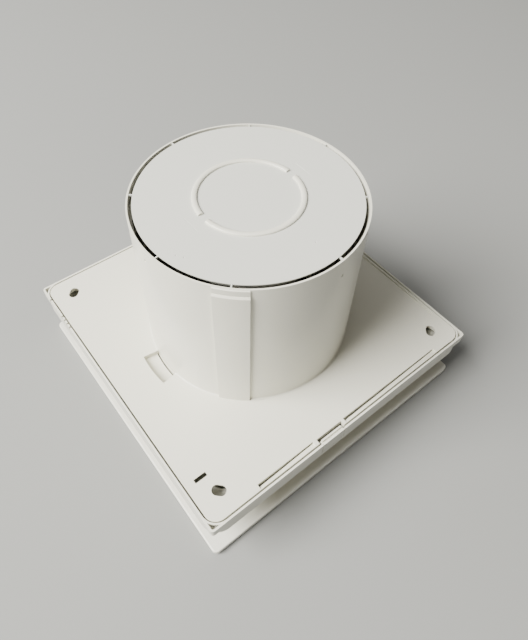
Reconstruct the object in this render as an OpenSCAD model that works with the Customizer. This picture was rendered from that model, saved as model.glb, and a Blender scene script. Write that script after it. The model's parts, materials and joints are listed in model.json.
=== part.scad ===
// Slim square bathroom extractor fan for a 100 mm duct.
// Lying on its front panel: z = 0 is the panel's face, +Z runs back along the duct spigot,
// and the Z axis is the axis of the spigot, the motor and the impeller.

/* [Front panel] */
// Side of the square front panel
panel_w = 154; // [150:0.5:160]
// Thickness of the front panel
panel_t = 3; // [2:0.5:5]
// Chamfer round the front panel
panel_chamfer = 0.8; // [0.4:0.1:1.4]
// Distance of each panel peg from the axis
peg_off = 58; // [56:0.5:59]
// Radius of a panel peg
peg_r = 2.4; // [2:0.1:3]

/* [Cover] */
// Side of the square cover
cover_w = 154; // [152:0.5:158]
// Thickness of the cover's outer wall
rim_t = 1.2; // [1:0.1:1.6]
// Depth of the cover's outer wall
rim_depth = 10; // [8:0.5:12]
// Side of the raised middle of the cover
step_w = 132; // [128:1:136]
// Thickness of the cover's faces
cover_t = 1.8; // [1.5:0.1:2.5]
// Air gap between the panel and the raised middle
air_gap = 7; // [6:0.5:9]
// Radius of the air inlet in the cover
inlet_r = 46.5; // [44:0.5:48]

/* [Base plate] */
// Height of the wall face above the front face
back_z = 33.5; // [32:0.5:36]
// Thickness of the base plate
plate_t = 2.5; // [2:0.1:3]
// Gap between the base plate and the cover's wall
rim_gap = 0.45; // [0.3:0.05:0.8]
// Corner radius of the base plate
plate_corner_r = 8; // [6:0.5:10]
// Depth of the skirt under the base plate
skirt_depth = 6; // [4:0.5:7]
// Distance of each screw slot from the middle, along X and along Y
screw_off = 65; // [63:0.5:66]
// Width of a screw slot
screw_slot_w = 4.5; // [4:0.1:5]
// End-to-end length of a screw slot
screw_slot_l = 6.3; // [5.5:0.1:7]

/* [Spigot] */
// Length of the spigot behind the wall face
spigot_len = 78; // [70:1:90]
// Outer radius of the spigot at its end
spigot_r = 49.5; // [49:0.1:49.8]
// How much wider the spigot is at its foot
spigot_draft = 0.15; // [0.1:0.05:0.5]
// Length of the plain band at the spigot's end
collar_len = 3.2; // [3:0.1:5]
// Wall of the spigot
spigot_wall = 1.2; // [1:0.1:1.5]
// How far the cable channel stands out of the spigot
channel_out = 1.2; // [0.8:0.1:1.5]
// Angle that the cable channel spans
channel_span = 16; // [12:1:20]
// Direction of the cable channel
channel_dir = 225; // [215:1:235]

/* [End disc] */
// Radius of the end disc
disc_r = 47.15; // [46.5:0.05:47.3]
// Thickness of the end disc
disc_t = 1.6; // [1.2:0.1:2]
// Outer radius of the raised ring on the end disc
ring_r = 23.5; // [20:0.5:30]
// Width of the raised ring
ring_w = 2.4; // [1.8:0.1:3]
// Height of the raised ring
ring_h = 0.9; // [0.5:0.1:1.2]

/* [Impeller and motor] */
// Number of impeller blades
blade_count = 7; // [5:1:9]
// Radius of the impeller over its blade tips
blade_r = 46.5; // [45:0.1:46.8]
// Radius of the impeller's hub
hub_r = 19; // [16:0.5:20]
// Radius of the motor shaft
shaft_r = 2.5; // [2:0.1:3]
// Radius of the motor can
can_r = 25; // [24:0.5:26]
// Length of the motor can
can_len = 34; // [32:1:38]

/* [Hidden] */
$fn = 96;
slip = 0.02;
running = 0.04;
end_z = back_z + spigot_len;
plate_z = back_z - plate_t;
duct_r = spigot_r - spigot_wall;
foot_r = spigot_r + spigot_draft;
pad_r = spigot_r + channel_out;
plate_w = cover_w - 2 * (rim_t + rim_gap);
rim_z = back_z - rim_depth;
step_z = panel_t + air_gap;
step_in = step_w - 2 * cover_t;
floor_z = step_z + cover_t;
web_count = 8;
web_pitch = 360 / web_count;
web_start = 7.5;
web_w = 0.9;
land_span = 22;
land_t = 0.6;
land_h = 6;
channel_web = 5;
latch_x = [-18.3, -5.2];
notch_x = [-19, -4.4];
root_r = 0.55;
latch_pivot_z = rim_z + cover_t + root_r + 0.05;
groove_y = -73.6;
groove_w = 1.5;
groove_d = 1.3;
groove_runs = [[-51.2, -21], [-2.9, 57.6]];
boss_r = 5.5;
cable_slot_out = 57.2;
cable_slot_span = 18;
hub_z = 17;
hub_h = 24;
blade_z = 19;
blade_h = 20;
blade_t = 1.6;
blade_pitch = 48;
camber_r = 30;
can_z = 50;
plate_front_z = can_z - 4;
bush_r = 6;
bush_l = 6;
bracket_z = can_z + 10;
bracket_h = 8;
sleeve_t = 2;
arm_count = 4;
term_pos = [-56, -34];
term_size = [11, 26, 12];
clamp_pos = [-56.5, -14.5];
clamp_size = [13, 5, 2.5];
clamp_z = 22.5;
board_pos = [50, 50];
board_size = [24, 24, 1.6];
board_z = 25.5;
pot_pos = [56, 44];
pot_size = 7;
pot_h = 3;
knob_r = 2.9;
wire_r = 0.9;
wire_pts = [
    [-19, -19, 84.9], [-19, -19, 89], [-24, -24, 91], [-31, -31, 87], [-33.8, -33.8, 80],
    [-33.8, -33.8, 60], [-33.8, -33.8, 35], [-34.6, -34.6, 29], [-40, -38, 25], [-49.5, -38, 25]
];

// Square with round corners, centred.
module round_square(w, r) {
    square([w, w - 2 * r], center = true);
    square([w - 2 * r, w], center = true);
    for (x = [-1, 1], y = [-1, 1]) translate([x * (w / 2 - r), y * (w / 2 - r)]) circle(r);
}

// Slab of a round-cornered square from z0 to z1.
module slab(w, r, z0, z1) {
    translate([0, 0, z0]) linear_extrude(z1 - z0) round_square(w, r);
}

// Square tube with round corners from z0 to z1.
module square_tube(w, r, t, z0, z1) {
    translate([0, 0, z0]) linear_extrude(z1 - z0) difference() {
        round_square(w, r);
        round_square(w - 2 * t, max(r - t, 0.3));
    }
}

// Round tube from z0 to z1.
module tube(r_out, r_in, z0, z1) {
    difference() {
        translate([0, 0, z0]) cylinder(r = r_out, h = z1 - z0);
        translate([0, 0, z0 - 1]) cylinder(r = r_in, h = z1 - z0 + 2);
    }
}

// Part of a ring: radii r0 to r1, heights z0 to z1, span degrees centred on direction dir.
module ring_part(r0, r1, z0, z1, dir, span) {
    rotate([0, 0, dir - span / 2]) rotate_extrude(angle = span)
        translate([r0, z0]) square([r1 - r0, z1 - z0]);
}

// Obround prism along X, centred, from z0 to z1.
module obround(l, w, z0, z1) {
    translate([0, 0, z0]) linear_extrude(z1 - z0) {
        square([l - w, w], center = true);
        for (s = [-1, 1]) translate([s * (l - w) / 2, 0]) circle(w / 2);
    }
}

// Box from corner a to corner b.
module span_box(a, b) {
    translate(a) cube(b - a);
}

// Screw with a round head at z0, pointing +Z, with a cross recess.
module pan_screw(head_r, head_h, shank_r, shank_l) {
    difference() {
        union() {
            cylinder(r = head_r, h = head_h);
            cylinder(r = shank_r, h = head_h + shank_l);
        }
        for (a = [0, 90]) rotate([0, 0, a])
            translate([-head_r * 0.6, -0.3, -1]) cube([head_r * 1.2, 0.6, 1 + head_h * 0.6]);
    }
}

// Unit vector along v.
function unit(v) = v / norm(v);

// Direction of a route at its point i.
function heading(pts, i) = unit(pts[min(i + 1, len(pts) - 1)] - pts[max(i - 1, 0)]);

// Ring of points round a route's point i, radius r, with a given number of sides.
function route_ring(pts, i, r, sides) =
    let (d = heading(pts, i), a = unit(cross(d, [1, -1, 0.01])), b = cross(d, a))
    [for (k = [0 : sides - 1]) pts[i] + r * (cos(360 * k / sides) * a + sin(360 * k / sides) * b)];

// Round wire of radius r along a route.
module wire(pts, r, sides = 8) {
    last = len(pts) - 1;
    rings = [for (i = [0 : last]) route_ring(pts, i, r, sides)];
    side_faces = [for (i = [0 : last - 1], k = [0 : sides - 1]) let (m = (k + 1) % sides)
        [i * sides + k, i * sides + m, (i + 1) * sides + m, (i + 1) * sides + k]];
    ends = [[for (k = [sides - 1 : -1 : 0]) k], [for (k = [0 : sides - 1]) last * sides + k]];
    polyhedron(points = [for (ring = rings, p = ring) p], faces = concat(side_faces, ends));
}

// Its children at each screw slot, with X along the slot.
module at_screw_slots() {
    for (x = [-1, 1], y = [-1, 1])
        translate([x * screw_off, y * screw_off, 0]) rotate([0, 0, -45 * x * y]) children();
}

module base_plate() {
    color("whitesmoke") difference() {
        union() {
            slab(plate_w, plate_corner_r, plate_z, back_z);
            square_tube(plate_w, plate_corner_r, 1.5, back_z - skirt_depth, plate_z);
        }
        translate([0, 0, plate_z - 1]) cylinder(r = foot_r, h = plate_t + 2);
        ring_part(duct_r, pad_r, plate_z - 1, back_z + 1, channel_dir, channel_span);
        at_screw_slots() translate([0, 0, plate_z - 1]) cylinder(r = boss_r, h = plate_t + 2);
        ring_part(duct_r, cable_slot_out, plate_z - 1, back_z + 1, 180, cable_slot_span);
        span_box([-70.9, -56.9, plate_z - 1], [-65.1, -55.1, back_z + 1]);
        for (run = groove_runs)
            span_box([run[0], groove_y - groove_w / 2, back_z - groove_d],
                     [run[1], groove_y + groove_w / 2, back_z + 1]);
        span_box([-groove_y - groove_w / 2, -58.5, back_z - groove_d],
                 [-groove_y + groove_w / 2, 58.5, back_z + 1]);
        span_box([notch_x[0], -plate_w, rim_z], [notch_x[1], groove_y + 0.5, back_z + 1]);
    }
}

module screw_bosses() {
    color("whitesmoke") at_screw_slots() difference() {
        translate([0, 0, back_z - skirt_depth]) cylinder(r = boss_r, h = skirt_depth);
        obround(screw_slot_l, screw_slot_w, rim_z, back_z + 1);
    }
}

// Ring part whose section is a polygon of [radius, height] points, span degrees centred on dir.
module turned_part(section, dir, span) {
    rotate([0, 0, dir - span / 2]) rotate_extrude(angle = span) polygon(section);
}

module spigot() {
    body_top = end_z - collar_len;
    wall_mid = (duct_r + spigot_r) / 2;
    color("whitesmoke") difference() {
        union() {
            rotate_extrude() polygon([
                [duct_r, plate_z], [foot_r, plate_z], [foot_r, back_z], [spigot_r, body_top],
                [spigot_r, end_z], [duct_r, end_z]
            ]);
            turned_part([
                [wall_mid, plate_z], [pad_r, plate_z], [pad_r, body_top - 0.9],
                [pad_r - 0.7, body_top - 0.2], [wall_mid, body_top - 0.2]
            ], channel_dir, channel_span);
            for (k = [0 : web_count - 1]) if (k != channel_web)
                ring_part(duct_r - land_t, duct_r + 0.3, end_z - land_h, end_z - 0.2,
                          web_start + k * web_pitch + land_span / 2 + 0.6, land_span - 1.2);
        }
        ring_part(duct_r - 2, spigot_r - 0.15, plate_z - 1, body_top - 1.5, channel_dir, channel_span - 3);
    }
}

module end_disc() {
    ring_mid = ring_r - ring_w / 2;
    color("gainsboro") {
        translate([0, 0, end_z - disc_t]) cylinder(r = disc_r, h = disc_t);
        for (side = [90, 270]) rotate([0, 0, side - 84.4]) rotate_extrude(angle = 168.8)
            translate([ring_mid, end_z - 0.2])
                polygon([[-ring_w / 2, 0], [ring_w / 2, 0], [ring_w / 2, 0.2],
                         [ring_w / 4, 0.2 + ring_h], [-ring_w / 4, 0.2 + ring_h], [-ring_w / 2, 0.2]]);
        for (k = [0 : web_count - 1]) {
            dir = k == channel_web ? channel_dir : web_start + k * web_pitch;
            rotate([0, 0, dir]) span_box([disc_r - 0.5, -web_w / 2, end_z - disc_t],
                                         [duct_r - slip - 0.03, web_w / 2, end_z - 0.2]);
        }
    }
}

module inlet_bell() {
    lip_z = floor_z + 2.4;
    color("whitesmoke") difference() {
        union() {
            tube(duct_r + 1.5, duct_r, lip_z, plate_z);
            tube(duct_r + 3, duct_r, lip_z, lip_z + 1.5);
        }
        ring_part(duct_r - 1, duct_r + 4, plate_z - 8, plate_z + 1, channel_dir, 9);
    }
}

module cover_frame() {
    step_r = 6;
    gusset_c = plate_w / 2 - plate_corner_r;
    gusset_r = plate_corner_r + rim_gap;
    color("white") difference() {
        union() {
            square_tube(cover_w, 1.2, rim_t, rim_z, back_z);
            difference() {
                slab(cover_w, 1.2, rim_z, rim_z + cover_t);
                slab(step_in, step_r, rim_z - 1, back_z);
            }
            square_tube(step_w, step_r + cover_t, cover_t, step_z, rim_z + cover_t);
            slab(step_w, step_r + cover_t, step_z, floor_z);
            for (a = [0 : 90 : 270]) {
                rotate([0, 0, a]) translate([gusset_c, gusset_c, 0])
                    ring_part(gusset_r, gusset_r + 1.1, rim_z + cover_t, back_z, 45, 74);
                rotate([0, 0, a]) translate([peg_off, 0, step_z]) cylinder(r = 4.6, h = 9);
            }
        }
        translate([0, 0, step_z - 1]) cylinder(r = inlet_r, h = rim_depth);
        for (a = [0 : 90 : 270]) rotate([0, 0, a])
            translate([peg_off, 0, step_z - 1]) cylinder(r = peg_r + 0.3, h = 12);
        span_box([latch_x[0], -cover_w, latch_pivot_z - root_r - 0.05],
                 [latch_x[1], -cover_w / 2 + 2, back_z + 1]);
        for (y = [67.6, 54.3, 51.5, 48.8, 46])
            span_box([-cover_w, y - 0.5, back_z - 2.6], [-cover_w / 2 + rim_t + 0.1, y + 0.5, back_z + 1]);
    }
}

module cover_latch() {
    x0 = latch_x[0] + 0.35;
    x1 = latch_x[1] - 0.35;
    outer_y = -cover_w / 2;
    hook_y = groove_y + 0.2;
    color("white") {
        span_box([x0, outer_y, latch_pivot_z], [x1, outer_y + 2 * root_r, back_z]);
        translate([x0, outer_y + root_r, latch_pivot_z]) rotate([0, 90, 0]) cylinder(r = root_r, h = x1 - x0);
        span_box([x0, outer_y + root_r, back_z - 4.2], [x1, hook_y - 0.6, back_z - 3]);
        span_box([x0 + 0.6, hook_y - 1.6, back_z - 4.2], [x1 - 0.6, hook_y - 0.6, back_z - 0.4]);
    }
}

module inlet_grille() {
    guard_z = step_z + 0.3;
    color("white") {
        tube(inlet_r - 0.2, inlet_r - 2, step_z, floor_z + 2);
        for (r = [19 : 9 : 37]) tube(r, r - 1.3, guard_z, guard_z + 2);
        translate([0, 0, guard_z]) cylinder(r = 11, h = 2);
        for (a = [0 : 45 : 315]) rotate([0, 0, a])
            span_box([10.5, -0.8, guard_z], [inlet_r - 1.5, 0.8, guard_z + 2]);
    }
}

module front_panel() {
    corner_r = 3;
    color("white") {
        hull() {
            slab(panel_w - 2 * panel_chamfer, corner_r, 0, 0.01, $fn = 32);
            slab(panel_w, corner_r, panel_chamfer, panel_t - panel_chamfer, $fn = 32);
            slab(panel_w - 2 * panel_chamfer, corner_r, panel_t - 0.01, panel_t, $fn = 32);
        }
    }
}

module panel_pegs() {
    color("white") for (a = [0 : 90 : 270]) rotate([0, 0, a]) translate([peg_off, 0, panel_t]) difference() {
        union() {
            cylinder(r = 5, h = air_gap - 0.3);
            cylinder(r = peg_r, h = air_gap + 8);
            translate([0, 0, air_gap + 6]) cylinder(r = peg_r + 0.2, h = 1.6);
        }
        translate([-5, -0.4, air_gap + 1]) cube([10, 0.8, 20]);
    }
}

module motor_bracket() {
    inner_r = can_r + sleeve_t;
    ring_t = 2.2;
    color("whitesmoke") {
        tube(inner_r + ring_t, inner_r, bracket_z, bracket_z + bracket_h);
        for (k = [0 : arm_count - 1]) rotate([0, 0, k * 360 / arm_count]) {
            span_box([inner_r + ring_t - 0.4, -1.3, bracket_z], [duct_r - 1.2, 1.3, bracket_z + bracket_h]);
            ring_part(duct_r - 1.6, duct_r - slip, bracket_z - 2, bracket_z + bracket_h + 2, 0, 16);
        }
    }
}

module motor_sleeve() {
    color("dimgray") tube(can_r + sleeve_t - slip, can_r + slip, bracket_z - 1, bracket_z + bracket_h + 1);
}

module motor_can() {
    back = can_z + can_len;
    color("silver") difference() {
        union() {
            translate([0, 0, can_z]) cylinder(r = can_r, h = can_len);
            translate([0, 0, back]) cylinder(r = bush_r + 2, h = 3);
        }
        translate([0, 0, can_z - 1]) cylinder(r = can_r - 1.2, h = can_len - 0.4);
        translate([0, 0, back - 5]) cylinder(r = bush_r + slip, h = 7);
        for (a = [0 : 45 : 315]) rotate([0, 0, a + 22.5])
            translate([16, 0, back - 4]) cylinder(r = 2.2, h = 8);
    }
}

module motor_end_plate() {
    color("silver") difference() {
        union() {
            translate([0, 0, plate_front_z + 2]) cylinder(r = can_r, h = 2 - slip);
            translate([0, 0, plate_front_z - 2]) cylinder(r = bush_r + 2, h = 5);
        }
        translate([0, 0, plate_front_z - 1]) cylinder(r = bush_r + slip, h = 8);
        translate([0, 0, plate_front_z - 3]) cylinder(r = shaft_r + 1, h = 4);
        for (a = [45, 225]) rotate([0, 0, a]) translate([20, 0, plate_front_z]) cylinder(r = 1.6, h = 6);
    }
}

module motor_screws() {
    color("lightgray") for (a = [45, 225]) rotate([0, 0, a])
        translate([20, 0, plate_front_z + 0.4]) pan_screw(2.8, 1.6 - slip, 1.5, 3.2);
}

module bush(z0) {
    color("goldenrod") tube(bush_r, shaft_r + running, z0, z0 + bush_l - 0.4);
}

module front_bush() {
    bush(plate_front_z - 0.9);
}

module rear_bush() {
    bush(can_z + can_len - 4.9);
}

module stator_core() {
    core_r = can_r - 1.2 - slip;
    color("slategray") difference() {
        tube(core_r, 15, can_z + 7, can_z + 23);
        for (a = [0 : 60 : 300]) rotate([0, 0, a]) span_box([14, -2, 0], [21, 2, end_z]);
    }
}

module stator_windings() {
    color("peru") for (z0 = [can_z + 3.4, can_z + 23 + slip]) {
        tube(21.5, 16, z0, z0 + 3.5);
    }
}

module rotor_core() {
    color("darkgray") difference() {
        union() {
            tube(14.6, shaft_r + slip, can_z + 7, can_z + 23);
            tube(13, shaft_r + slip, can_z + 5.5, can_z + 24.5);
        }
    }
}

module motor_shaft() {
    color("silver") translate([0, 0, hub_z - 3.5]) cylinder(r = shaft_r, h = can_z + can_len + 1.6 - hub_z + 3.5);
}

// One pitched and cambered blade, before its tip and root are trimmed.
module blade_sheet() {
    translate([hub_r - 3, 0, blade_z + blade_h / 2]) rotate([blade_pitch, 0, 0]) rotate([0, 90, 0])
        translate([-camber_r, 0, 0]) rotate([0, 0, -35]) rotate_extrude(angle = 70)
            translate([camber_r, 0]) square([blade_t, blade_r - hub_r + 8]);
}

module impeller_hub() {
    bore_l = 18;
    color("white") difference() {
        union() {
            tube(hub_r, hub_r - 1.8, hub_z, hub_z + hub_h);
            translate([0, 0, hub_z]) cylinder(r = hub_r, h = 2);
            translate([0, 0, hub_z]) cylinder(r = 5.5, h = bore_l);
        }
        translate([0, 0, hub_z - 1]) cylinder(r = shaft_r + slip, h = bore_l + 2);
    }
}

module impeller_blades() {
    color("white") for (k = [0 : blade_count - 1]) rotate([0, 0, k * 360 / blade_count]) intersection() {
        blade_sheet();
        tube(blade_r, hub_r, blade_z, blade_z + blade_h);
    }
}

module impeller_nut() {
    color("silver") difference() {
        translate([0, 0, hub_z - 3]) cylinder(r = 4.5, h = 3 - slip, $fn = 6);
        translate([0, 0, hub_z - 4]) cylinder(r = shaft_r + slip, h = 5);
    }
}

module terminal_block() {
    pitch = term_size[1] / 3;
    top = plate_z - term_size[2];
    color("ivory") difference() {
        translate([term_pos[0], term_pos[1], top + term_size[2] / 2])
            cube([term_size[0], term_size[1], term_size[2] - slip], center = true);
        for (k = [-1 : 1]) translate([term_pos[0], term_pos[1] + k * pitch, 0]) {
            translate([0, 0, top - 1]) cylinder(r = 2.4, h = 6);
            translate([-term_size[0], 0, top + 7.8]) rotate([0, 90, 0]) cylinder(r = 2, h = 2 * term_size[0]);
        }
    }
}

module terminal_screws() {
    pitch = term_size[1] / 3;
    top = plate_z - term_size[2];
    color("silver") for (k = [-1 : 1])
        translate([term_pos[0], term_pos[1] + k * pitch, top + 1]) pan_screw(2.2, 1.5, 1.4, 2);
}

module cable_clamp() {
    color("ivory") difference() {
        translate([clamp_pos[0], clamp_pos[1], clamp_z + clamp_size[2] / 2]) cube(clamp_size, center = true);
        for (s = [-1, 1]) translate([clamp_pos[0] + s * 4.7, clamp_pos[1], clamp_z - 1]) cylinder(r = 1.5, h = 6);
    }
}

module clamp_screws() {
    color("silver") for (s = [-1, 1])
        translate([clamp_pos[0] + s * 4.7, clamp_pos[1], clamp_z - 1.6])
            pan_screw(2.6, 1.6 - slip, 1.4, plate_z - clamp_z - slip);
}

module timer_board() {
    color("seagreen") difference() {
        translate([board_pos[0], board_pos[1], board_z + board_size[2] / 2]) cube(board_size, center = true);
        for (s = [-1, 1]) translate([board_pos[0] + s * 9.5, board_pos[1] + s * 9.5, board_z - 1])
            cylinder(r = 1.5, h = 4);
    }
}

module board_relay() {
    color("royalblue") span_box([41, 53, board_z - 9], [52.5, 61.5, board_z - slip]);
}

module board_capacitor() {
    color("goldenrod") translate([44.6, 46.6, board_z - 8]) cylinder(r = 3.8, h = 8 - slip);
}

module timer_pot() {
    color("dodgerblue") difference() {
        translate([pot_pos[0], pot_pos[1], board_z - slip - pot_h / 2]) cube([pot_size, pot_size, pot_h], center = true);
        translate([pot_pos[0], pot_pos[1], board_z - pot_h - 1]) cylinder(r = 1.25, h = 3);
    }
}

module timer_knob() {
    knob_z = board_z - pot_h - 0.1;
    color("white") translate([pot_pos[0], pot_pos[1], 0]) difference() {
        union() {
            translate([0, 0, knob_z - 1.8]) cylinder(r = knob_r, h = 1.7);
            translate([0, 0, knob_z - 1]) cylinder(r = 1.2, h = 2.5);
        }
        translate([-0.4, -2, knob_z - 2.8]) cube([0.8, 5, 1.7]);
    }
}

module board_screws() {
    color("silver") for (s = [-1, 1])
        translate([board_pos[0] + s * 9.5, board_pos[1] + s * 9.5, board_z - 1.4])
            pan_screw(2.3, 1.4 - slip, 1.4, plate_z - board_z - slip);
}

module motor_leads() {
    color("firebrick") for (s = [-1, 1]) translate([s * 0.75, -s * 0.75, 0]) wire(wire_pts, wire_r);
}

base_plate();
screw_bosses();
spigot();
end_disc();
inlet_bell();
cover_frame();
cover_latch();
inlet_grille();
front_panel();
panel_pegs();
motor_bracket();
motor_sleeve();
motor_can();
motor_end_plate();
motor_screws();
front_bush();
rear_bush();
stator_core();
stator_windings();
rotor_core();
motor_shaft();
impeller_hub();
impeller_blades();
impeller_nut();
terminal_block();
terminal_screws();
cable_clamp();
clamp_screws();
timer_board();
board_relay();
board_capacitor();
timer_pot();
timer_knob();
board_screws();
motor_leads();
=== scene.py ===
"""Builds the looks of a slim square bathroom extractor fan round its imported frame.

The fan lies on its front panel. Sizes in the classes are in millimetres in the part's own
frame: z = 0 is the panel's face and the Z axis is the axis of the spigot and the motor.
"""

import json
import logging
import math
from dataclasses import dataclass
from enum import Enum

import bmesh
import bpy
from mathutils import Matrix, Vector


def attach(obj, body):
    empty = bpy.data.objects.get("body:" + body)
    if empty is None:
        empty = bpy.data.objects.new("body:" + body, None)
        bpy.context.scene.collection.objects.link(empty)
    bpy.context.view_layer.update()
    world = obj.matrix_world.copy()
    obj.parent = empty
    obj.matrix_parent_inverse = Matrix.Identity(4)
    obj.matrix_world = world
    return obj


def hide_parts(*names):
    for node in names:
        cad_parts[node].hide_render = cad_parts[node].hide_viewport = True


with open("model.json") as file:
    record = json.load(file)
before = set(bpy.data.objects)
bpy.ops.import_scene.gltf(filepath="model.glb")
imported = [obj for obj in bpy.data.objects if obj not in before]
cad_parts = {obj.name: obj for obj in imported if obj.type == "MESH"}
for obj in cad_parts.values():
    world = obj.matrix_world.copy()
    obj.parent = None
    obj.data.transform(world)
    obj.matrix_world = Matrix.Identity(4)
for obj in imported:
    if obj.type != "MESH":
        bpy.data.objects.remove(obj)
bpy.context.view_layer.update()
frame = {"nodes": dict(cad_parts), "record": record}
MM = 0.001
UP = Vector((0, 0, 1))
CORNERS = ((1, 1), (-1, 1), (-1, -1), (1, -1))
WEB_COUNT = 8
FIRST_WEB = 7.5
WEB_STEP = 45
CHANNEL_WEB = 5
CHANNEL_DIR = 225
log = logging.getLogger("fan")


class Pattern(Enum):
    """How a finish varies over its surface."""

    MOULDED = "moulded"
    BRUSHED = "brushed"
    STACKED = "stacked"
    WOUND = "wound"
    ETCHED = "etched"


class Boolean(Enum):
    """How one shape acts on another."""

    CUT = "DIFFERENCE"
    JOIN = "UNION"


@dataclass(frozen=True)
class Finish:
    """One material of the fan: its colour, gloss and surface pattern."""

    name: str
    colour: tuple[float, float, float]
    tint: tuple[float, float, float]
    roughness: float
    pattern: Pattern = Pattern.MOULDED
    metallic: float = 0.0
    coat: float = 0.0
    grain_mm: float = 0.6
    relief_mm: float = 0.004
    relief_strength: float = 0.35
    brush_stretch: float = 0.04
    layers_per_scale: float = 6.3
    cloud_scale: float = 28.0
    gloss_spread: float = 0.06

    def pattern_source(self, tree: bpy.types.NodeTree) -> bpy.types.NodeSocket:
        """Adds the fine pattern that drives the relief.

        Args:
            tree: The material's node tree.

        Returns:
            The socket that holds the pattern's height.
        """
        place = tree.nodes.new("ShaderNodeTexCoord").outputs["Object"]
        mapping = tree.nodes.new("ShaderNodeMapping")
        tree.links.new(place, mapping.inputs["Vector"])
        per_metre = 1 / (self.grain_mm * MM)
        scale = {
            Pattern.BRUSHED: (per_metre, per_metre, per_metre * self.brush_stretch),
            Pattern.MOULDED: (per_metre,) * 3,
        }.get(self.pattern, (1.0, 1.0, 1.0))
        mapping.inputs["Scale"].default_value = scale
        if self.pattern in (Pattern.STACKED, Pattern.WOUND):
            wave = tree.nodes.new("ShaderNodeTexWave")
            wave.bands_direction = "Z"
            wave.inputs["Scale"].default_value = per_metre / self.layers_per_scale
            wave.inputs["Distortion"].default_value = 0.6 if self.pattern is Pattern.WOUND else 0.1
            tree.links.new(mapping.outputs["Vector"], wave.inputs["Vector"])
            return wave.outputs["Fac"]
        if self.pattern is Pattern.ETCHED:
            cells = tree.nodes.new("ShaderNodeTexVoronoi")
            cells.distance = "MANHATTAN"
            cells.inputs["Scale"].default_value = per_metre
            tree.links.new(mapping.outputs["Vector"], cells.inputs["Vector"])
            return cells.outputs["Distance"]
        noise = tree.nodes.new("ShaderNodeTexNoise")
        noise.inputs["Scale"].default_value = 1.0
        noise.inputs["Detail"].default_value = 3.0
        tree.links.new(mapping.outputs["Vector"], noise.inputs["Vector"])
        return noise.outputs["Fac"]

    def build(self) -> bpy.types.Material:
        """Makes the node material.

        Returns:
            The finished material.
        """
        material = bpy.data.materials.new(self.name)
        material.use_nodes = True
        tree = material.node_tree
        shader = tree.nodes["Principled BSDF"]
        shader.inputs["Metallic"].default_value = self.metallic
        shader.inputs["Coat Weight"].default_value = self.coat
        place = tree.nodes.new("ShaderNodeTexCoord").outputs["Object"]
        cloud = tree.nodes.new("ShaderNodeTexNoise")
        cloud.inputs["Scale"].default_value = self.cloud_scale
        cloud.inputs["Detail"].default_value = 4.0
        tree.links.new(place, cloud.inputs["Vector"])
        source = self.pattern_source(tree)
        etched = self.pattern is Pattern.ETCHED
        mix = tree.nodes.new("ShaderNodeMix")
        mix.data_type = "RGBA"
        mix.inputs["A"].default_value = (*self.colour, 1)
        mix.inputs["B"].default_value = (*self.tint, 1)
        tree.links.new(source if etched else cloud.outputs["Fac"], mix.inputs["Factor"])
        tree.links.new(mix.outputs["Result"], shader.inputs["Base Color"])
        gloss = tree.nodes.new("ShaderNodeMapRange")
        gloss.inputs["To Min"].default_value = self.roughness - self.gloss_spread
        gloss.inputs["To Max"].default_value = self.roughness + self.gloss_spread
        tree.links.new(cloud.outputs["Fac"], gloss.inputs["Value"])
        tree.links.new(gloss.outputs["Result"], shader.inputs["Roughness"])
        bump = tree.nodes.new("ShaderNodeBump")
        bump.inputs["Strength"].default_value = self.relief_strength
        bump.inputs["Distance"].default_value = self.relief_mm * MM
        tree.links.new(source, bump.inputs["Height"])
        tree.links.new(bump.outputs["Normal"], shader.inputs["Normal"])
        return material


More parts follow.
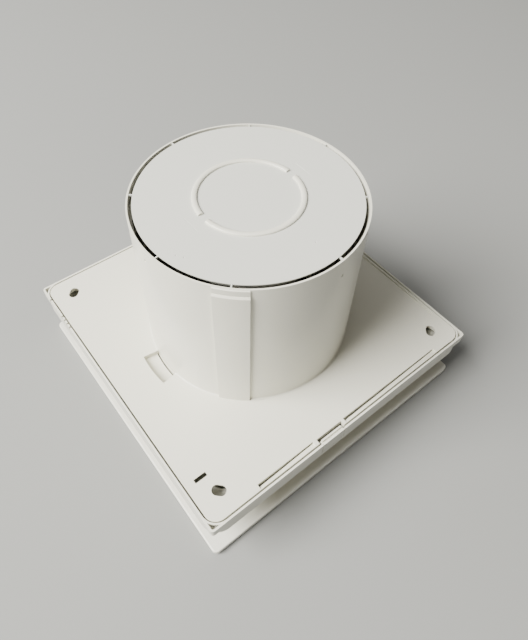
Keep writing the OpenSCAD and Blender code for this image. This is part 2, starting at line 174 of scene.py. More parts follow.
FINISHES = (
    Finish("satin_white_abs", (0.77, 0.758, 0.665), (0.74, 0.728, 0.63), 0.33, coat=0.2, relief_mm=0.005),
    Finish("cover_white_abs", (0.77, 0.76, 0.675), (0.745, 0.735, 0.645), 0.36, coat=0.15, relief_mm=0.004),
    Finish("panel_gloss_white", (0.78, 0.77, 0.70), (0.755, 0.745, 0.67), 0.30, coat=0.3, relief_mm=0.003),
    Finish("disc_cool_white", (0.63, 0.635, 0.59), (0.605, 0.612, 0.565), 0.55, relief_mm=0.006),
    Finish("black_rubber", (0.02, 0.02, 0.02), (0.035, 0.035, 0.033), 0.8, relief_mm=0.02),
    Finish("zinc_plate", (0.55, 0.55, 0.56), (0.46, 0.46, 0.47), 0.34, Pattern.BRUSHED, metallic=1.0),
    Finish("screw_zinc", (0.62, 0.61, 0.57), (0.52, 0.51, 0.47), 0.3, metallic=1.0, grain_mm=0.3),
    Finish(
        "sintered_bronze", (0.5, 0.33, 0.14), (0.4, 0.25, 0.1), 0.5,
        metallic=1.0, grain_mm=0.2, relief_mm=0.01,
    ),
    Finish(
        "stacked_steel", (0.2, 0.2, 0.21), (0.13, 0.13, 0.14), 0.45,
        Pattern.STACKED, metallic=0.9, grain_mm=0.5, relief_mm=0.05,
    ),
    Finish(
        "copper_wire", (0.55, 0.2, 0.07), (0.42, 0.14, 0.05), 0.32,
        Pattern.WOUND, metallic=0.85, grain_mm=0.4, relief_mm=0.08,
    ),
    Finish(
        "ground_steel", (0.68, 0.68, 0.69), (0.6, 0.6, 0.62), 0.2,
        Pattern.STACKED, metallic=1.0, grain_mm=0.15, relief_mm=0.003,
    ),
    Finish("impeller_white", (0.78, 0.78, 0.75), (0.74, 0.74, 0.71), 0.5, relief_mm=0.006),
    Finish("ivory_polyamide", (0.68, 0.64, 0.52), (0.62, 0.58, 0.46), 0.5, relief_mm=0.01, grain_mm=0.4),
    Finish(
        "green_laminate", (0.02, 0.13, 0.05), (0.05, 0.22, 0.09), 0.35,
        Pattern.ETCHED, coat=0.4, grain_mm=2.4, relief_mm=0.03,
    ),
    Finish("blue_case", (0.03, 0.08, 0.35), (0.04, 0.1, 0.4), 0.4, grain_mm=0.4, relief_mm=0.008),
    Finish("black_sleeve", (0.025, 0.025, 0.03), (0.04, 0.04, 0.045), 0.3, coat=0.3),
    Finish("white_trimmer", (0.75, 0.74, 0.69), (0.7, 0.69, 0.64), 0.45, grain_mm=0.3),
    Finish("red_pvc", (0.3, 0.02, 0.015), (0.24, 0.015, 0.012), 0.45, grain_mm=0.5, relief_mm=0.01),
)
PAINT_OF_SLOT = {
    "housing": "satin_white_abs", "cover": "cover_white_abs", "panel": "panel_gloss_white",
    "disc": "disc_cool_white", "sleeve": "black_rubber", "motor_steel": "zinc_plate",
    "screws": "screw_zinc", "bushes": "sintered_bronze", "laminations": "stacked_steel",
    "windings": "copper_wire", "shaft": "ground_steel", "impeller": "impeller_white",
    "terminal": "ivory_polyamide", "board": "green_laminate", "relay": "blue_case",
    "capacitor": "black_sleeve", "knob": "white_trimmer", "leads": "red_pvc",
}


class Paints:
    """The made materials, by the record's slot."""

    def __init__(self) -> None:
        """Builds every finish once."""
        self.made = {finish.name: finish.build() for finish in FINISHES}

    def of(self, slot: str) -> bpy.types.Material:
        """Returns the material of a slot of the record."""
        return self.made[PAINT_OF_SLOT[slot]]


class Shape:
    """A solid in the making, in millimetres, built with bmesh operators."""

    def __init__(self) -> None:
        """Starts empty."""
        self.bm = bmesh.new()

    def slab(self, width: float, radius: float, z0: float, z1: float, steps: int = 12) -> "Shape":
        """Adds a square slab with round upright corners.

        Args:
            width: Side of the square.
            radius: Corner radius.
            z0: Lower height.
            z1: Upper height.
            steps: Segments in each corner.

        Returns:
            The shape itself.
        """
        return self.prism((width, width), radius, z0, z1, steps)

    def prism(
        self,
        size: tuple[float, float],
        radius: float,
        z0: float,
        z1: float,
        steps: int = 12,
        place: Matrix | None = None,
    ) -> "Shape":
        """Adds a rectangle with round corners, pulled from z0 to z1.

        Args:
            size: Length along X and along Y.
            radius: Corner radius, 0 for square corners.
            z0: Lower height.
            z1: Upper height.
            steps: Segments in each corner.
            place: Turn and shift of the finished prism.

        Returns:
            The shape itself.
        """
        bm = bmesh.new()
        bmesh.ops.create_grid(bm, x_segments=1, y_segments=1, size=0.5)
        bmesh.ops.scale(bm, vec=(size[0], size[1], 1), verts=bm.verts)
        if radius > 0:
            bmesh.ops.bevel(
                bm, geom=list(bm.verts), offset=min(radius, min(size) / 2 - 1e-4), offset_type="OFFSET",
                segments=steps, profile=0.5, affect="VERTICES", material=-1,
            )
        bmesh.ops.translate(bm, vec=(0, 0, z0), verts=bm.verts)
        pulled = bmesh.ops.extrude_face_region(bm, geom=list(bm.faces))["geom"]
        top = [v for v in pulled if isinstance(v, bmesh.types.BMVert)]
        bmesh.ops.translate(bm, vec=(0, 0, z1 - z0), verts=top)
        return self.take(bm, place)

    def box(self, low: tuple[float, float, float], high: tuple[float, float, float]) -> "Shape":
        """Adds a box between two corners.

        Args:
            low: The corner with the smallest coordinates.
            high: The corner with the largest.

        Returns:
            The shape itself.
        """
        bm = bmesh.new()
        bmesh.ops.create_cube(bm, size=1)
        a, b = Vector(low), Vector(high)
        bmesh.ops.scale(bm, vec=b - a, verts=bm.verts)
        bmesh.ops.translate(bm, vec=(a + b) / 2, verts=bm.verts)
        return self.take(bm)

    def rod(
        self,
        radius: float,
        z0: float,
        z1: float,
        at: tuple[float, float] = (0, 0),
        sides: int = 48,
        top: float | None = None,
    ) -> "Shape":
        """Adds an upright cylinder, or a cone where top is given.

        Args:
            radius: Radius at z0.
            z0: Lower height.
            z1: Upper height.
            at: Place of the axis.
            sides: Number of sides.
            top: Radius at z1.

        Returns:
            The shape itself.
        """
        bm = bmesh.new()
        bmesh.ops.create_cone(
            bm, cap_ends=True, segments=sides, radius1=radius,
            radius2=radius if top is None else top, depth=z1 - z0,
        )
        bmesh.ops.translate(bm, vec=(at[0], at[1], (z0 + z1) / 2), verts=bm.verts)
        return self.take(bm)

    def turned(
        self,
        section: list[tuple[float, float]],
        direction: float = 0,
        span: float = 360,
        steps: int = 144,
    ) -> "Shape":
        """Adds a closed section of (radius, height) points, spun round the Z axis.

        Args:
            section: The corners of the section, in order.
            direction: Middle of the sweep, in degrees from +X.
            span: Angle of the sweep in degrees.
            steps: Number of steps in the sweep.

        Returns:
            The shape itself.
        """
        bm = bmesh.new()
        face = bm.faces.new([bm.verts.new((r, 0, z)) for r, z in section])
        full = span >= 360
        if full:
            geom = list(bm.edges) + list(bm.verts)
            bm.faces.remove(face)
        else:
            geom = [face, *bm.edges, *bm.verts]
            turn = Matrix.Rotation(math.radians(direction - span / 2), 4, "Z")
            bmesh.ops.transform(bm, matrix=turn, verts=bm.verts)
        bmesh.ops.spin(
            bm, geom=geom, cent=(0, 0, 0), axis=UP, angle=math.radians(span),
            steps=steps, use_merge=full, use_duplicate=False,
        )
        bmesh.ops.remove_doubles(bm, verts=bm.verts, dist=1e-4)
        return self.take(bm)

    def sector(
        self, r0: float, r1: float, z0: float, z1: float, direction: float, span: float, steps: int = 16
    ) -> "Shape":
        """Adds part of a ring with a rectangular section.

        Args:
            r0: Inner radius.
            r1: Outer radius.
            z0: Lower height.
            z1: Upper height.
            direction: Middle of the part, in degrees from +X.
            span: Its angle in degrees.
            steps: Number of steps along it.

        Returns:
            The shape itself.
        """
        return self.turned([(r0, z0), (r1, z0), (r1, z1), (r0, z1)], direction, span, steps)

    def take(self, bm: bmesh.types.BMesh, place: Matrix | None = None) -> "Shape":
        """Takes in a finished bmesh with its faces turned outwards, and frees it.

        Args:
            bm: The bmesh, which is used up.
            place: Turn and shift that it gets first.

        Returns:
            The shape itself.
        """
        if place is not None:
            bmesh.ops.transform(bm, matrix=place, verts=bm.verts)
        bmesh.ops.recalc_face_normals(bm, faces=bm.faces)
        mesh = bpy.data.meshes.new("part")
        bm.to_mesh(mesh)
        bm.free()
        self.bm.from_mesh(mesh)
        bpy.data.meshes.remove(mesh)
        return self

    def combine(self, other: "Shape", operation: Boolean) -> "Shape":
        """Cuts another shape away or joins it on.

        Args:
            other: The other shape, which is used up.
            operation: What to do with it.

        Returns:
            The shape itself.
        """
        mine, its = self.loose_object("mine"), other.loose_object("its")
        modifier = mine.modifiers.new("combine", "BOOLEAN")
        modifier.operation = operation.value
        modifier.solver = "EXACT"
        modifier.object = its
        modifier.use_self = operation is Boolean.JOIN
        done = bpy.data.meshes.new_from_object(mine.evaluated_get(bpy.context.evaluated_depsgraph_get()))
        self.bm = bmesh.new()
        self.bm.from_mesh(done)
        for thing in (mine, its):
            mesh = thing.data
            bpy.data.objects.remove(thing)
            bpy.data.meshes.remove(mesh)
        bpy.data.meshes.remove(done)
        bmesh.ops.remove_doubles(self.bm, verts=self.bm.verts, dist=1e-3)
        return self

    def cut(self, other: "Shape") -> "Shape":
        """Takes another shape away from this one."""
        return self.combine(other, Boolean.CUT)

    def join(self, other: "Shape") -> "Shape":
        """Joins another shape to this one."""
        return self.combine(other, Boolean.JOIN)

    def loose_object(self, name: str) -> bpy.types.Object:
        """Makes a scene object of the shape and frees the bmesh.

        Args:
            name: Name of the object and its mesh.

        Returns:
            The object, in the scene.
        """
        mesh = bpy.data.meshes.new(name)
        self.bm.to_mesh(mesh)
        self.bm.free()
        thing = bpy.data.objects.new(name, mesh)
        bpy.context.scene.collection.objects.link(thing)
        bpy.context.view_layer.update()
        return thing

    def soften(self, width: float, segments: int = 2, over: float = 35) -> "Shape":
        """Bevels the edges where two faces meet at a sharp angle.

        Args:
            width: Width of the bevel.
            segments: Segments across it.
            over: Smallest angle between the faces, in degrees.

        Returns:
            The shape itself.
        """
        bmesh.ops.dissolve_limit(
            self.bm, angle_limit=math.radians(0.5), verts=self.bm.verts, edges=self.bm.edges
        )
        sharp = [
            e for e in self.bm.edges
            if len(e.link_faces) == 2 and e.calc_face_angle(0) > math.radians(over)
        ]
        bmesh.ops.bevel(
            self.bm, geom=sharp, offset=width, offset_type="OFFSET", segments=segments,
            profile=0.5, affect="EDGES", material=-1, clamp_overlap=True,
        )
        return self

    def finish(
        self,
        name: str,
        body: str,
        slot: str,
        paints: Paints,
        replaces: tuple[str, ...] = (),
        smooth: float = 40,
    ) -> bpy.types.Object:
        """Turns the shape into a piece of the fan.

        Args:
            name: Name of the piece.
            body: The body that it rides on.
            slot: The record's material slot.
            paints: The made materials.
            replaces: The CAD nodes that it stands for.
            smooth: Angle below which shading runs on over an edge.

        Returns:
            The finished object, in metres.
        """
        bmesh.ops.scale(self.bm, vec=(MM, MM, MM), verts=self.bm.verts)
        for face in self.bm.faces:
            face.smooth = True
        thing = self.loose_object(name)
        thing.data.name = name
        thing.data.set_sharp_from_angle(angle=math.radians(smooth))
        thing.data.materials.append(paints.of(slot))
        weighted = thing.modifiers.new("weighted", "WEIGHTED_NORMAL")
        weighted.keep_sharp = True
        weighted.weight = 100
        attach(thing, body)
        if replaces:
            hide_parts(*replaces)
        log.info("%s: %d faces", name, len(thing.data.polygons))
        return thing


@dataclass
class Housing:
    """The base plate with its screw bosses, and the duct spigot with its cable channel."""

    paints: Paints
    wall_z: float = 33.5
    plate_t: float = 2.5
    plate_w: float = 150.7
    corner_r: float = 5.5
    skirt_depth: float = 6
    skirt_t: float = 1.5
    lip: float = 0.8
    screw_off: float = 65
    slot_w: float = 4.5
    slot_l: float = 6.3
    hollow_w: float = 1.1
    boss_r: float = 5.5
    collar_h: float = 1.3
    small_slot: tuple[float, float] = (-68, -56)
    small_slot_half: tuple[float, float] = (2.9, 0.9)
    small_hollow_w: float = 1.5
    cable_dir: float = 180
    cable_slot_r: float = 57.2
    cable_slot_span: float = 18
    chute_r: float = 59
    chute_half: float = 9
    chute_t: float = 0.9
    chute_fall: float = 2.2
    groove_y: float = -73.9
    groove_w: float = 2.2
    groove_deep: float = 2.0
    groove_shallow: float = 1.2
    groove_edge: float = 0.25
    grooves: tuple[tuple[float, float], ...] = ((-51.2, -21), (-2.9, 57.6))
    slit_w: float = 0.9
    side_groove_x: tuple[float, float] = (72.85, 74.35)
    side_groove_y: float = 58.5
    side_groove_deep: float = 1.1
    notch_x: tuple[float, float] = (-19, -4.4)
    notch_y: float = -73.1
    end_z: float = 111.5
    spigot_r: float = 49.5
    foot_r: float = 49.65
    foot_fillet: float = 0.9
    wall: float = 1.2
    mouth_taper: float = 0.45
    mouth_depth: float = 2
    collar: float = 3.2
    pad_r: float = 50.7
    pad_span: float = 16
    pad_chamfer: tuple[float, float] = (0.6, 0.7)
    pad_gap: float = 0.2
    channel_skin: float = 0.15
    cap_out: float = 0.45
    cap_slope: float = 0.5
    land_span: float = 20.8
    land_turn: float = 11.6
    land_drop: tuple[float, float] = (9, 4)
    dimples: tuple[tuple[float, float], ...] = ((180, 105.2), (-82, 102.5))

    def slot_places(self) -> list[Matrix]:
        """Works out where the screw slots are.

        Returns:
            The place of each slot, with X along the slot.
        """
        return [
            Matrix.Translation((x * self.screw_off, y * self.screw_off, 0))
            @ Matrix.Rotation(math.radians(-45 * x * y), 4, "Z")
            for x, y in CORNERS
        ]

    def groove(self, deep_x: float, shallow_x: float) -> Shape:
        """Makes the cutter of one groove along the latch side, with a sloped floor.

        Args:
            deep_x: The end where the groove is deepest.
            shallow_x: The end where it is shallowest.

        Returns:
            The cutter: an upright inner wall, and a floor that rises to the plate's edge.
        """
        cutter = Shape().box(
            (min(deep_x, shallow_x), self.groove_y - self.groove_w / 2, self.wall_z - 1),
            (max(deep_x, shallow_x), self.groove_y + self.groove_w / 2, self.wall_z + 1),
        )
        for vert in cutter.bm.verts:
            if vert.co.z < self.wall_z:
                inner = vert.co.y > self.groove_y
                deep = self.groove_deep if abs(vert.co.x - deep_x) < 0.01 else self.groove_shallow
                vert.co.z = self.wall_z - (deep if inner else self.groove_edge)
        return cutter

    def groove_slit(self, deep_x: float, shallow_x: float) -> Shape:
        """Makes the slit along a groove's inner wall, which narrows towards its shallow end.

        Args:
            deep_x: The wide end of the slit.
            shallow_x: Its narrow end.

        Returns:
            The cutter, which goes right through the plate.
        """
        wall_y = self.groove_y + self.groove_w / 2
        cutter = Shape().box(
            (min(deep_x, shallow_x), wall_y - self.slit_w, self.wall_z - self.plate_t - 0.6),
            (max(deep_x, shallow_x), wall_y, self.wall_z - 0.3),
        )
        for vert in cutter.bm.verts:
            if abs(vert.co.x - shallow_x) < 0.01 and vert.co.y < wall_y - 0.01:
                vert.co.y = wall_y - self.slit_w / 3
        return cutter

    def cable_chute(self) -> Shape:
        """Makes the sloped floor that guides the cable from its slot to the clamp.

        Returns:
            The chute, a curved strip under the slot.
        """
        under = self.wall_z - self.plate_t
        chute = Shape().sector(
            self.foot_r + 0.75, self.chute_r, under - self.chute_t, under + 0.05,
            self.cable_dir, self.cable_slot_span + 6, 12,
        )
        for vert in chute.bm.verts:
            fall = self.chute_fall * (self.chute_half - vert.co.y) / (2 * self.chute_half)
            vert.co.z -= max(0.0, fall)
        return chute

    def hollows(self, z0: float, z1: float) -> Shape:
        """Makes the cutter that thins the plate to a lip round the screw slots.

        Args:
            z0: Lower height of the cutter.
            z1: Its upper height, under the lip.

        Returns:
            The cutter, wider than the slots.
        """
        cutter = Shape()
        size = (self.slot_l + 2 * self.hollow_w, self.slot_w + 2 * self.hollow_w)
        for place in self.slot_places():
            cutter.prism(size, self.slot_w / 2 + 1, z0, z1, 12, place)
        return cutter

    def small_slot_box(self, margin: float, z0: float, z1: float) -> Shape:
        """Makes the box of the small slot, or of the recess under it.

        Args:
            margin: How much wider than the slot it is on each side.
            z0: Lower height.
            z1: Upper height.

        Returns:
            The box.
        """
        (x, y), (half_x, half_y) = self.small_slot, self.small_slot_half
        return Shape().box(
            (x - half_x - margin, y - half_y - margin, z0), (x + half_x + margin, y + half_y + margin, z1)
        )

    def base_plate(self) -> None:
        """Builds the base plate with its skirt, bosses, slots and grooves."""
        z0, z1 = self.wall_z - self.skirt_depth, self.wall_z
        under = z1 - self.plate_t
        plate = Shape().slab(self.plate_w, self.corner_r, z0, z1)
        inside = Shape().slab(self.plate_w - 2 * self.skirt_t, self.corner_r - self.skirt_t, z0 - 1, under)
        plate.cut(inside)
        bosses = Shape()
        for x, y in CORNERS:
            at = (x * self.screw_off, y * self.screw_off)
            bosses.rod(self.boss_r, under - self.collar_h, under + 0.5, at)
        plate.join(bosses)
        plate.cut(Shape().rod(self.foot_r - 0.03, under - 1, z1 + 1, sides=144))
        plate.cut(self.hollows(z0 - 1, z1 - self.lip))
        plate.cut(self.small_slot_box(self.small_hollow_w, z0 - 1, z1 - self.lip))
        slots = self.small_slot_box(0, under - 1, z1 + 1)
        for place in self.slot_places():
            slots.prism((self.slot_l, self.slot_w), self.slot_w / 2, z0 - 1, z1 + 1, 12, place)
        slots.sector(
            self.foot_r - 1, self.cable_slot_r, under - 1, z1 + 1, self.cable_dir, self.cable_slot_span
        )
        plate.cut(slots)
        for deep_x, shallow_x in self.grooves:
            plate.cut(self.groove(deep_x, shallow_x))
            plate.cut(self.groove_slit(deep_x, shallow_x))
        (side_x0, side_x1), (notch_x0, notch_x1) = self.side_groove_x, self.notch_x
        cuts = Shape()
        cuts.box(
            (side_x0, -self.side_groove_y, z1 - self.side_groove_deep), (side_x1, self.side_groove_y, z1 + 1)
        )
        cuts.box((notch_x0, -self.plate_w, z0 - 1), (notch_x1, self.notch_y, z1 + 1))
        plate.cut(cuts)
        plate.join(self.cable_chute())
        plate.soften(0.22)
        plate.finish(
            "base_plate_moulding", "base", "housing", self.paints, ("base_plate", "screw_bosses")
        )

    def channel(self, mid_r: float, under: float, body_top: float) -> Shape:
        """Makes the raised cable channel and the thin cap over its end.

        Args:
            mid_r: Middle of the spigot's wall, where both are rooted.
            under: Height of the plate's underside.
            body_top: Height where the spigot's end collar starts.

        Returns:
            The pad and the cap, joined.
        """
        pad_top = body_top - self.pad_gap
        chamfer_w, chamfer_h = self.pad_chamfer
        pad = Shape().turned(
            [(mid_r, under), (self.pad_r, under), (self.pad_r, pad_top - chamfer_h),
             (self.pad_r - chamfer_w, pad_top), (mid_r, pad_top)],
            CHANNEL_DIR, self.pad_span, 12,
        )
        cap_r, cap_top = self.spigot_r + self.cap_out, self.end_z - 0.02
        cap = Shape().turned(
            [(mid_r, body_top - 1), (cap_r, body_top - 1), (cap_r, self.end_z - self.cap_slope),
             (self.spigot_r - 0.2, cap_top), (mid_r, cap_top)],
            CHANNEL_DIR, self.pad_span, 12,
        )
        return pad.join(cap)

    def spigot(self) -> None:
        """Builds the spigot with its cable channel, lands and foot fillet."""
        duct_r = self.spigot_r - self.wall
        under, body_top = self.wall_z - self.plate_t, self.end_z - self.collar
        round_r = self.foot_fillet
        fillet = [
            (self.foot_r + round_r * (1 - math.sin(a)), self.wall_z + round_r * (1 - math.cos(a)))
            for a in (math.radians(d) for d in range(0, 91, 15))
        ]
        tube = Shape().turned([
            (duct_r, under), (self.foot_r, under), (self.foot_r, self.wall_z), *fillet,
            (self.spigot_r, body_top), (self.spigot_r, self.end_z),
            (duct_r + self.mouth_taper, self.end_z), (duct_r, self.end_z - self.mouth_depth),
        ])
        tube.join(self.channel(duct_r + self.wall / 2, under, body_top))
        low, high = (self.end_z - drop for drop in self.land_drop)
        lands = Shape()
        for k in range(WEB_COUNT):
            if k != CHANNEL_WEB:
                middle = FIRST_WEB + WEB_STEP * k + self.land_turn
                lands.sector(duct_r - 0.6, duct_r + 0.3, low, high, middle, self.land_span, 14)
        tube.join(lands)
        tube.cut(Shape().sector(
            duct_r - 2, self.spigot_r - self.channel_skin, under - 1, body_top - 1.5,
            CHANNEL_DIR, self.pad_span - 3, 10,
        ))
        tube.cut(Shape().sector(
            self.foot_r + 0.02, self.cable_slot_r + 0.8, under - 1, self.wall_z + 1.2,
            self.cable_dir, self.cable_slot_span + 0.2, 12,
        ))
        tube.soften(0.16)
        dimples = Shape()
        for angle, height in self.dimples:
            turn = Matrix.Rotation(math.radians(angle), 4, "Z")
            place = turn @ Matrix.Translation((self.spigot_r + 0.15, 0, height))
            dimples.prism((0.9, 1.0), 0.3, -0.8, 0.8, 4, place)
        tube.cut(dimples)
        tube.finish("spigot_moulding", "base", "housing", self.paints, ("spigot",))


@dataclass
class EndDisc:
    """The disc in the spigot's mouth, with its raised broken ring and thin webs."""

    paints: Paints
    radius: float = 47.15
    top: float = 111.5
    thickness: float = 1.6
    edge_t: float = 0.4
    under_r: float = 44.75
    step_r: float = 46.55
    web_r: float = 47.675
    web_l: float = 2.05
    web_w: float = 0.55
    rib_r: float = 41
    rib_h: float = 7.5
    ring_r: float = 23.5
    ring_w: float = 2.4
    ring_h: float = 0.9
    ring_side: float = 0.3
    ring_span: float = 168.8
    mark_x: float = 28.4
    mark_l: float = 9.6
    pits: tuple[tuple[float, float], ...] = ((4, -36), (-41.5, -10), (-39.6, -12.6))

    def build(self) -> None:
        """Builds the disc as one piece."""
        low, edge_z = self.top - self.thickness, self.top - self.edge_t
        disc = Shape().rod(self.radius, edge_z, self.top, sides=144)
        disc.join(Shape().rod(self.under_r, low, edge_z, sides=144, top=self.step_r))
        webs = Shape()
        for k in range(WEB_COUNT):
            angle = CHANNEL_DIR if k == CHANNEL_WEB else FIRST_WEB + WEB_STEP * k
            place = Matrix.Rotation(math.radians(angle), 4, "Z") @ Matrix.Translation((self.web_r, 0, 0))
            webs.prism((self.web_l, self.web_w), 0, low + 0.6, self.top - 0.1, 1, place)
        disc.join(webs)
        disc.join(Shape().sector(self.rib_r - 1, self.rib_r, low - self.rib_h, low + 0.2, 0, 360, 144))
        marks = Shape()
        for x in (-self.mark_x, self.mark_x):
            marks.box((x - 0.1, -self.mark_l / 2, self.top - 0.12), (x + 0.1, self.mark_l / 2, self.top + 1))
        for at in self.pits:
            marks.rod(0.3, self.top - 0.2, self.top + 1, at, 12)
        disc.cut(marks)
        disc.soften(0.12, 2, 30)
        disc.finish("end_disc_moulding", "disc", "disc", self.paints, ("end_disc",))

    def ring(self) -> None:
        """Builds the raised ring, with a break on each side: smoother than the disc, and painted lighter as a
        painted highlight for the light on its domed top.
        """
        half = self.ring_w / 2
        mid, rise = self.ring_r - half, self.ring_h - self.ring_side
        dome = [
            (mid + half * math.cos(a), self.top + self.ring_side + rise * math.sin(a))
            for a in (math.radians(d) for d in range(0, 181, 20))
        ]
        section = [(mid - half, self.top - 0.2), (mid + half, self.top - 0.2), *dome]
        halves = Shape()
        for middle in (90, 270):
            halves.turned(section, middle, self.ring_span, 60)
        # The ring is the disc's own plastic; the housing's lighter white here is painted highlight on its
        # dome, and only its lower roughness is a real gloss.
        halves.finish("end_disc_ring", "disc", "housing", self.paints)


@dataclass
class Cover:
    """The push-on square cover and its latch tongue."""

    paints: Paints
    width: float = 154
    wall: float = 0.9
    low: float = 23.5
    high: float = 33.5
    skin: float = 1.8
    step_w: float = 132
    step_r: float = 6
    step_z: float = 10
    inlet_r: float = 46.5
    body_r: float = 8.3
    inner_r: float = 6.9
    lip_h: float = 4.8
    lip_r: float = 1.6
    window_r: float = 105.1
    window: tuple[float, float] = (1.9, 4.4)
    peg_off: float = 58
    socket_r: float = 4.6
    socket_h: float = 9
    peg_hole_r: float = 2.7
    notch_ys: tuple[float, ...] = (67.6, 54.3, 51.5, 48.8, 46)
    notch_deep: float = 2.6
    latch_gap_x: tuple[float, float] = (-18.3, -5.2)
    latch_gap_z: float = 25.3
    latch_x: tuple[float, float] = (-17.95, -5.55)
    latch_z: float = 25.9
    latch_t: float = 0.7
    root_r: float = 0.55
    ledge_y: float = -74.42
    ledge_drop: float = 1.4
    hook_y: tuple[float, float] = (-75.15, -74.41)
    head_h: float = 4.2

    def lip(self) -> Shape:
        """Makes the square lip of the rim.

        Returns:
            The lip, sharper at its corners than the body below it.
        """
        lip = Shape().slab(self.width, self.lip_r, self.high - self.lip_h, self.high, 5)
        inside = Shape().slab(self.width - 2 * self.wall, 0.7, self.low, self.high + 1, 3)
        return lip.cut(inside)

    def shelf(self) -> Shape:
        """Makes the shelf that closes the lip's corners from below.

        Returns:
            The shelf, with the body's round-cornered opening.
        """
        z0 = self.high - self.lip_h
        shelf = Shape().slab(self.width - 0.4, self.lip_r - 0.2, z0, z0 + 0.8, 5)
        opening = Shape().slab(self.width - 2 * self.wall, self.inner_r, self.low, self.high + 1)
        return shelf.cut(opening)

    def windows(self) -> Shape:
        """Makes the cutter of the windows between each corner and the body.

        Returns:
            The four small blocks.
        """
        windows = Shape()
        for x, y in CORNERS:
            turn = Matrix.Rotation(math.atan2(y, x), 4, "Z")
            place = turn @ Matrix.Translation((self.window_r, 0, 0))
            windows.prism(self.window, 0, self.high - self.lip_h + 0.9, self.high - 1, 1, place)
        return windows

    def frame(self) -> None:
        """Builds the cover: a round-cornered body with a square lip, raised middle and inlet."""
        floor, outer_r = self.step_z + self.skin, self.step_r + self.skin
        inside = self.width - 2 * self.wall
        cover = Shape().slab(self.width, self.body_r, self.low, self.high)
        cover.join(Shape().slab(self.step_w, outer_r, self.step_z, self.low + 0.5))
        cover.cut(Shape().slab(inside, self.inner_r, self.low + self.skin, self.high + 1))
        cover.cut(Shape().slab(self.step_w - 2 * self.skin, self.step_r, floor, self.low + 3))
        cover.join(self.lip())
        cover.join(self.shelf())
        cover.cut(self.windows())
        sockets, holes = Shape(), Shape()
        for x, y in ((1, 0), (0, 1), (-1, 0), (0, -1)):
            at = (x * self.peg_off, y * self.peg_off)
            sockets.rod(self.socket_r, self.step_z + 0.1, self.step_z + self.socket_h, at)
            holes.rod(self.peg_hole_r, self.step_z - 1, self.step_z + self.socket_h + 2, at)
        cover.join(sockets)
        holes.rod(self.inlet_r, self.step_z - 1, self.step_z + 9, sides=128)
        gap_x0, gap_x1 = self.latch_gap_x
        holes.box((gap_x0, -self.width, self.latch_gap_z), (gap_x1, -self.width / 2 + 2, self.high + 1))
        for y in self.notch_ys:
            holes.box(
                (-self.width, y - 0.5, self.high - self.notch_deep),
                (-self.width / 2 + self.wall + 0.1, y + 0.5, self.high + 1),
            )
        cover.cut(holes)
        cover.soften(0.2)
        cover.finish("cover_moulding", "cover", "cover", self.paints, ("cover_frame",))

    def latch(self) -> None:
        """Builds the latch tongue with its rounded root, ledge and hook."""
        (x0, x1), y0, head_z = self.latch_x, -self.width / 2, self.high - self.head_h
        hook_y0, hook_y1 = self.hook_y
        tongue = Shape().box((x0, y0, self.latch_z), (x1, y0 + 2 * self.root_r, head_z))
        lie = Matrix.Translation((x0, y0 + self.root_r, self.latch_z)) @ Matrix.Rotation(math.pi / 2, 4, "Y")
        bar = Shape().rod(self.root_r, 0, x1 - x0, sides=24)
        bmesh.ops.transform(bar.bm, verts=bar.bm.verts, matrix=lie)
        tongue.join(bar)
        tongue.join(Shape().box((x0, y0, head_z - 0.1), (x1, y0 + self.latch_t, self.high)))
        tongue.join(Shape().box(
            (x0 + 0.01, y0 + 0.5, head_z - 0.05), (x1 - 0.01, self.ledge_y, self.high - self.ledge_drop)
        ))
        tongue.join(Shape().box((x0 + 0.6, hook_y0, head_z), (x1 - 0.6, hook_y1, self.high - 0.2)))
        tongue.soften(0.15)
        tongue.finish("cover_latch_tongue", "latch", "cover", self.paints, ("cover_latch",))


@dataclass
class Panel:
    """The flat front panel."""

    paints: Paints
    width: float = 154
    thickness: float = 3
    chamfer: float = 0.6
    corner_r: float = 2.5

    def build(self) -> None:
        """Builds the panel with a rounded edge all round."""
        panel = Shape().slab(self.width, self.corner_r, 0, self.thickness, 10)
        panel.soften(self.chamfer, 4)
        panel.finish("front_panel_moulding", "panel", "panel", self.paints, ("front_panel",))


@dataclass
class Drive:
    """The pieces inside the fan, which keep their CAD shape or get a finer one."""

    paints: Paints
    coil_r: float = 18.75
    coil_half: tuple[float, float] = (2.55, 1.62)
    coil_rise: float = 1.75
    coil_turns: int = 14
    coil_valley: float = 0.07

    def coil_section(self, z0: float) -> list[tuple[float, float]]:
        """Works out the section of a coil, an oval with a valley between its turns.

        Args:
            z0: Height of the coil's foot.

        Returns:
            The points of the section, as radius and height.
        """
        half_r, half_z = self.coil_half
        count = self.coil_turns * 3
        section = []
        for k in range(count):
            a = math.tau * k / count
            bulge = 1 - self.coil_valley * (k % 3 == 0)
            section.append((
                self.coil_r + half_r * bulge * math.cos(a), z0 + self.coil_rise + half_z * bulge * math.sin(a)
            ))
        return section

    def windings(self) -> None:
        """Builds the two end coils as wound bundles of wire."""
        for name, z0, replaced in (("front_coil", 53.4, ("stator_windings",)), ("rear_coil", 73.02, ())):
            coil = Shape().turned(self.coil_section(z0), steps=72)
            coil.finish(name, "base", "windings", self.paints, replaced, 60)

    def dress(self) -> None:
        """Gives each CAD node that still shows its material."""
        slots = {part["node"]: part["material_slot"] for part in frame["record"]["subparts"]}
        for name, node in frame["nodes"].items():
            node.data.materials.clear()
            node.data.materials.append(self.paints.of(slots[name]))
            log.info("%s: dressed as %s", name, slots[name])


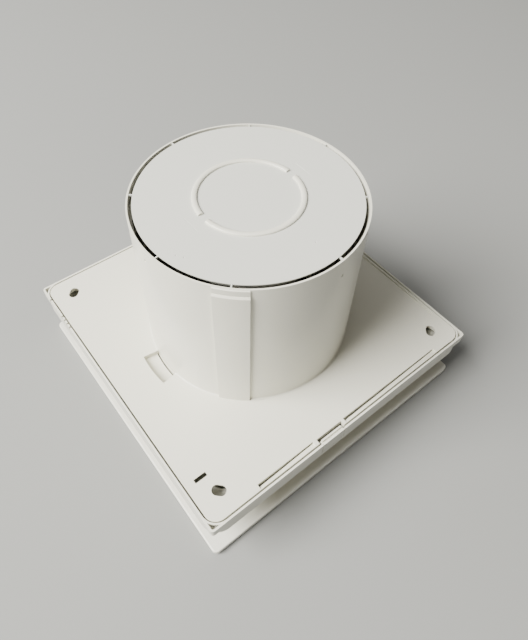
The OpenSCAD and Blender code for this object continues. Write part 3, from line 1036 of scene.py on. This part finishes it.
@dataclass(frozen=True)
class Lamp:
    """A soft square light that points at the fan. Its size and place are in metres."""

    name: str
    at: tuple[float, float, float]
    size: float
    power: float
    colour: tuple[float, float, float]
    target: tuple[float, float, float] = (0, 0, 0.05)

    def build(self) -> None:
        """Adds the light to the scene."""
        data = bpy.data.lights.new(self.name, "AREA")
        data.size, data.energy, data.color = self.size, self.power, self.colour
        light = bpy.data.objects.new(self.name, data)
        bpy.context.scene.collection.objects.link(light)
        light.location = self.at
        aim = Vector(self.target) - Vector(self.at)
        light.rotation_euler = aim.to_track_quat("-Z", "Y").to_euler()


@dataclass(frozen=True)
class Studio:
    """The floor, the lights and the camera. The angles are in degrees."""

    eye: tuple[float, float, float] = (-104.94, -136.53, 262.72)
    azimuth: float = 39.935
    elevation: float = 50.32
    roll: float = -2.055
    sensor: float = 36
    lens: float = 31.46625
    shift: float = -0.05539
    floor_half_m: float = 3
    floor_drop_mm: float = 0.3
    floor_colour: tuple[float, float, float] = (0.275, 0.28, 0.275)
    sky_colour: tuple[float, float, float] = (1.0, 0.94, 0.84)
    sky_strength: float = 0.14
    lamps: tuple[Lamp, ...] = (
        Lamp("window", (-1.33, 0.42, 1.44), 1.3, 158, (1.0, 0.98, 0.92)),
        Lamp("ceiling", (-0.3, 0.2, 1.9), 1.5, 7, (0.98, 0.99, 1.0)),
    )

    def camera(self) -> None:
        """Sets up the camera."""
        data = bpy.data.cameras.new("camera")
        data.lens = self.lens
        data.sensor_width = self.sensor
        data.shift_y = self.shift
        data.clip_start, data.clip_end = 0.01, 20
        camera = bpy.data.objects.new("camera", data)
        bpy.context.scene.collection.objects.link(camera)
        a, e = math.radians(self.azimuth), math.radians(self.elevation)
        look = Vector((math.sin(a) * math.cos(e), math.cos(a) * math.cos(e), -math.sin(e)))
        right = look.cross(UP).normalized()
        up = right.cross(look)
        base = Matrix((right, up, -look)).transposed()
        turn = Matrix.Rotation(math.radians(self.roll), 3, look)
        camera.matrix_world = Matrix.Translation(Vector(self.eye) * MM) @ (turn @ base).to_4x4()
        bpy.context.scene.camera = camera

    def floor(self) -> None:
        """Makes the plain pale floor, just under the panel's face."""
        bm = bmesh.new()
        bmesh.ops.create_grid(bm, x_segments=1, y_segments=1, size=self.floor_half_m)
        bmesh.ops.translate(bm, vec=(0, 0, -self.floor_drop_mm * MM), verts=bm.verts)
        mesh = bpy.data.meshes.new("floor")
        bm.to_mesh(mesh)
        bm.free()
        floor = bpy.data.objects.new("floor", mesh)
        bpy.context.scene.collection.objects.link(floor)
        material = bpy.data.materials.new("floor_paper")
        material.use_nodes = True
        shader = material.node_tree.nodes["Principled BSDF"]
        shader.inputs["Base Color"].default_value = (*self.floor_colour, 1)
        shader.inputs["Roughness"].default_value = 0.9
        mesh.materials.append(material)

    def light(self) -> None:
        """Sets up the soft studio light."""
        world = bpy.data.worlds.new("studio")
        world.use_nodes = True
        background = world.node_tree.nodes["Background"]
        background.inputs["Color"].default_value = (*self.sky_colour, 1)
        background.inputs["Strength"].default_value = self.sky_strength
        bpy.context.scene.world = world
        for lamp in self.lamps:
            lamp.build()


def main() -> None:
    """Builds the scene in order."""
    logging.basicConfig(level=logging.INFO, format="%(name)s: %(message)s")
    studio = Studio()
    studio.camera()
    studio.floor()
    studio.light()
    paints = Paints()
    housing = Housing(paints)
    housing.base_plate()
    housing.spigot()
    disc = EndDisc(paints)
    disc.build()
    disc.ring()
    cover = Cover(paints)
    cover.frame()
    cover.latch()
    Panel(paints).build()
    drive = Drive(paints)
    drive.windings()
    drive.dress()


if __name__ == "__main__":
    main()
